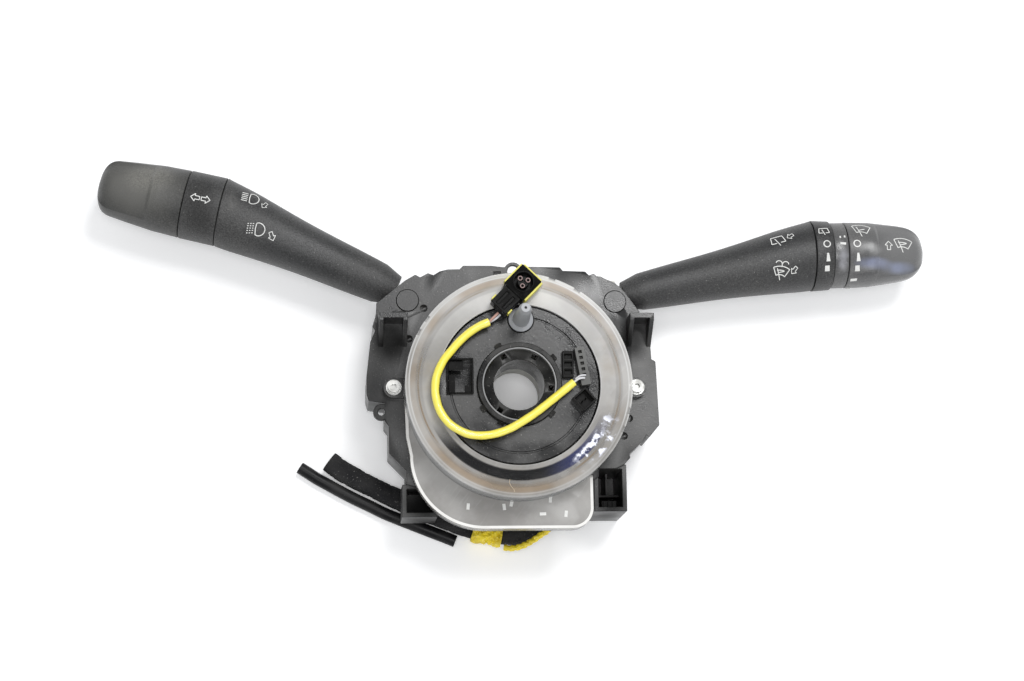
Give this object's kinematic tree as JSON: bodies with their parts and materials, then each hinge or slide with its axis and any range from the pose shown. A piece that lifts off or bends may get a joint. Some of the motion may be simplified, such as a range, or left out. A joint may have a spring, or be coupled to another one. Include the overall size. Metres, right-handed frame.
{
  "type": "airbag clock spring",
  "caption": "Steering column switch module with a clear-covered airbag clock spring, a turning hub with lock plunger, two control stalks with twist knobs, and a cut wiring harness.",
  "frame": {"origin": "on the steering axis, in the plane of the rear end of the column collar, which the module rests on", "axes": "+Z along the steering axis towards the driver, +X to the right and +Y up as the driver sees the module"},
  "size_m": [0.3719, 0.173, 0.082],
  "materials": {
    "abs_black": "fine grained black moulding",
    "nylon_black": "glass filled nylon, slightly dusty",
    "clear_cover": "hazy clear polycarbonate",
    "ribbon_film": "glossy laminated film",
    "natural_pom": "natural acetal",
    "grey_pin": "light grey moulding",
    "zinc": "zinc plated",
    "spring_steel": "drawn wire",
    "hub_bright": "worn bright ring",
    "yellow_sleeve": "airbag lead sleeve",
    "wire_pvc": "thin wire insulation",
    "felt": "felt harness tape",
    "pvc_tube": "smooth soft tube",
    "yellow_tape": "crumpled tape",
    "board_green": "solder resist"
  },
  "bodies": {
    "module": {"carrier": "nylon_black", "clamp_band": "zinc", "clamp_screw": "zinc", "clamp_nut": "zinc", "module_screws": "zinc", "clock_screws": "zinc", "clock_base": "nylon_black", "ribbon_wall": "natural_pom", "clock_cover": "clear_cover", "ribbon_cable": "ribbon_film", "left_case": "abs_black", "left_lid": "abs_black", "left_board": "board_green", "left_pivots": "abs_black", "right_case": "abs_black", "right_lid": "abs_black", "right_board": "board_green", "right_pivots": "abs_black", "rear_connector": "abs_black", "harness_bundle": "felt", "harness_tube": "pvc_tube", "harness_tape": "yellow_tape", "harness_lead": "yellow_sleeve"},
    "rotor": {"rotor_disc": "nylon_black", "rotor_hub": "nylon_black", "hub_ring": "hub_bright", "cancel_cam": "natural_pom", "rotor_header": "grey_pin", "rotor_socket": "abs_black", "lock_spring": "spring_steel", "lead_sleeve": "yellow_sleeve", "lead_wires": "wire_pvc", "squib_connector": "abs_black", "squib_clip": "yellow_tape"},
    "plunger": {"lock_plunger": "grey_pin"},
    "left_turn_yoke": {"left_yoke": "natural_pom", "left_cross_pin": "zinc", "left_detent_spring": "spring_steel"},
    "left_detent_pin": {"left_detent": "natural_pom"},
    "left_stalk": {"left_core": "zinc", "left_arm": "abs_black", "left_band": "abs_black"},
    "left_end": {"left_knob": "abs_black"},
    "right_turn_yoke": {"right_yoke": "natural_pom", "right_cross_pin": "zinc", "right_detent_spring": "spring_steel"},
    "right_detent_pin": {"right_detent": "natural_pom"},
    "right_stalk": {"right_core": "zinc", "right_arm": "abs_black", "right_index_ring": "abs_black"},
    "right_ring": {"right_rear_ring": "abs_black"},
    "right_end": {"right_end_knob": "abs_black"},
    "pawl": {"cancel_pawl": "natural_pom"}
  },
  "joints": [
    {"name": "rotor_turn", "type": "hinge", "parent": "module", "child": "rotor", "pos_m": [0, 0, 0.05], "axis": [0, 0, 1], "range_deg": [-900, 900]},
    {"name": "plunger_press", "type": "slide", "parent": "rotor", "child": "plunger", "axis": [0, 0, -1], "range_m": [0, 0.004], "stiffness_N_per_m": 400, "springref_m": -0.004, "deforming": ["lock_spring"]},
    {"name": "left_turn", "type": "hinge", "parent": "module", "child": "left_turn_yoke", "pos_m": [-0.0468, 0.0415, 0.024], "axis": [0, 0, 1], "range_deg": [-11, 11]},
    {"name": "left_detent_ride", "type": "slide", "parent": "left_turn_yoke", "child": "left_detent_pin", "axis": [0, 0, 1], "range_m": [0, 0.001], "stiffness_N_per_m": 900, "springref_m": -0.002, "deforming": ["left_detent_spring"]},
    {"name": "left_tilt", "type": "hinge", "parent": "left_turn_yoke", "child": "left_stalk", "pos_m": [-0.0422, 0.04434, 0.024], "axis": [-0.4163, -0.9092, 0], "range_deg": [-5.5, 5.5]},
    {"name": "left_knob_twist", "type": "hinge", "parent": "left_stalk", "child": "left_end", "pos_m": [-0.1288, 0.0842, 0.024], "axis": [-0.9751, 0.2215, 0], "range_deg": [0, 60]},
    {"name": "right_turn", "type": "hinge", "parent": "module", "child": "right_turn_yoke", "pos_m": [0.045, 0.0411, 0.024], "axis": [0, 0, 1], "range_deg": [-9, 7]},
    {"name": "right_detent_ride", "type": "slide", "parent": "right_turn_yoke", "child": "right_detent_pin", "axis": [0, 0, 1], "range_m": [0, 0.001], "stiffness_N_per_m": 900, "springref_m": -0.002, "deforming": ["right_detent_spring"]},
    {"name": "right_tilt", "type": "hinge", "parent": "right_turn_yoke", "child": "right_stalk", "pos_m": [0.04113, 0.04488, 0.024], "axis": [0.2084, -0.978, 0], "range_deg": [-5.5, 5.5]},
    {"name": "right_ring_twist", "type": "hinge", "parent": "right_stalk", "child": "right_ring", "pos_m": [0.136, 0.06495, 0.024], "axis": [0.9997, 0.0262, 0], "range_deg": [0, 46]},
    {"name": "right_knob_twist", "type": "hinge", "parent": "right_stalk", "child": "right_end", "pos_m": [0.136, 0.06495, 0.024], "axis": [0.9997, 0.0262, 0], "range_deg": [0, 88]},
    {"name": "pawl_slide", "type": "slide", "parent": "module", "child": "pawl", "axis": [0.7482, -0.6635, 0], "range_m": [0, 0.001], "stiffness_N_per_m": 300, "springref_m": -0.001}
  ]
}
